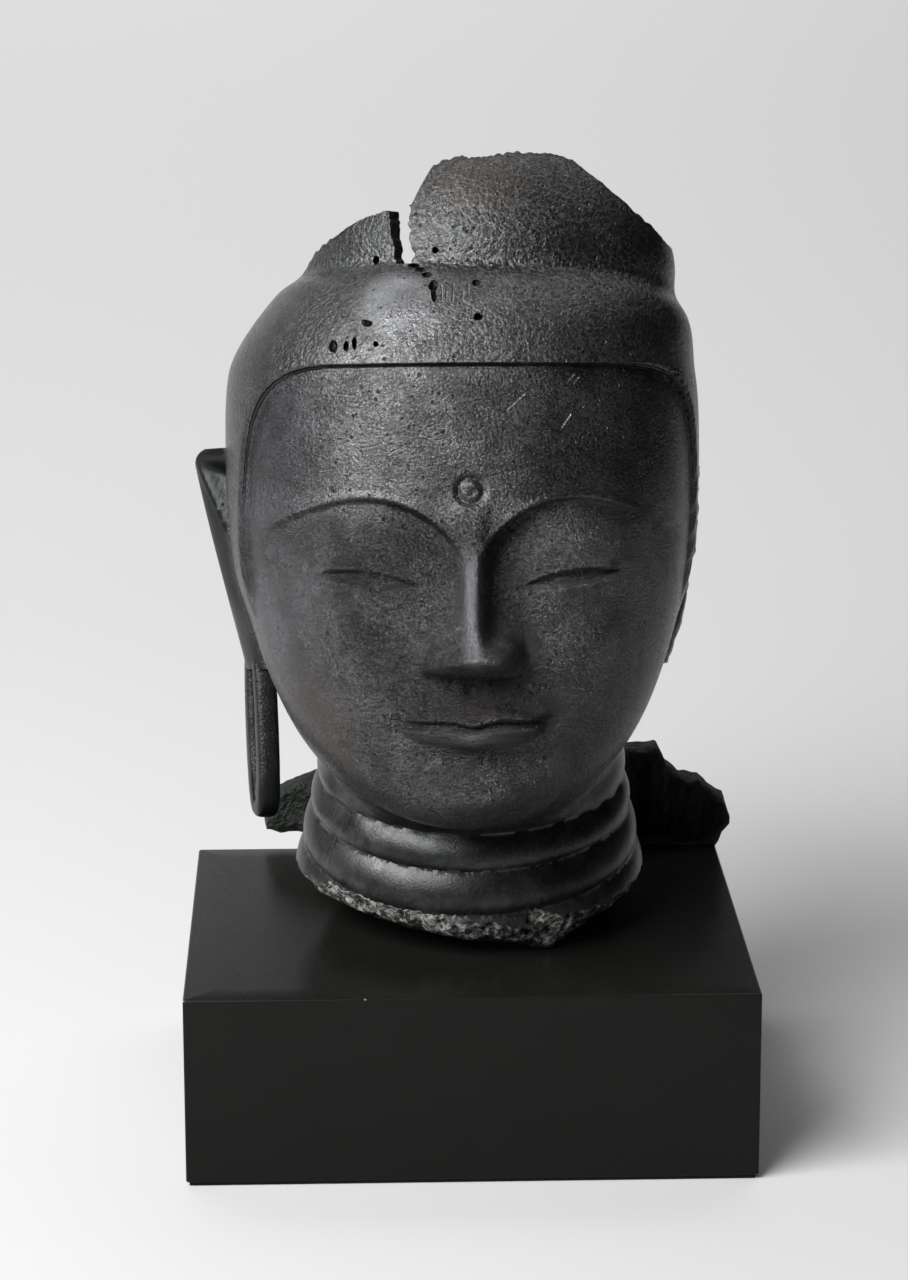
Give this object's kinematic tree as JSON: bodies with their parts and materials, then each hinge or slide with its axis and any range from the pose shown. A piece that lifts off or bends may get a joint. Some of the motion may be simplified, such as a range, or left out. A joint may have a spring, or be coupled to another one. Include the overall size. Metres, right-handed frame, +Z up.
{
  "type": "bronze buddha head fragment on a block",
  "caption": "Hollow cast head fragment with a broken open crown, one long pierced ear, folded neck and ragged lower edge, resting on a rectangular block.",
  "frame": {"origin": "middle of the block's underside", "axes": "+Z up, the face looks towards -Y, +X is on the right of someone who looks at the face"},
  "size_m": [0.18, 0.1917, 0.3048],
  "materials": {
    "patinated_bronze": "dark patinated cast bronze, satin, mottled",
    "blackened_wood": "matt black lacquer"
  },
  "bodies": {
    "root": {"head": "patinated_bronze", "plinth": "blackened_wood"}
  },
  "joints": []
}
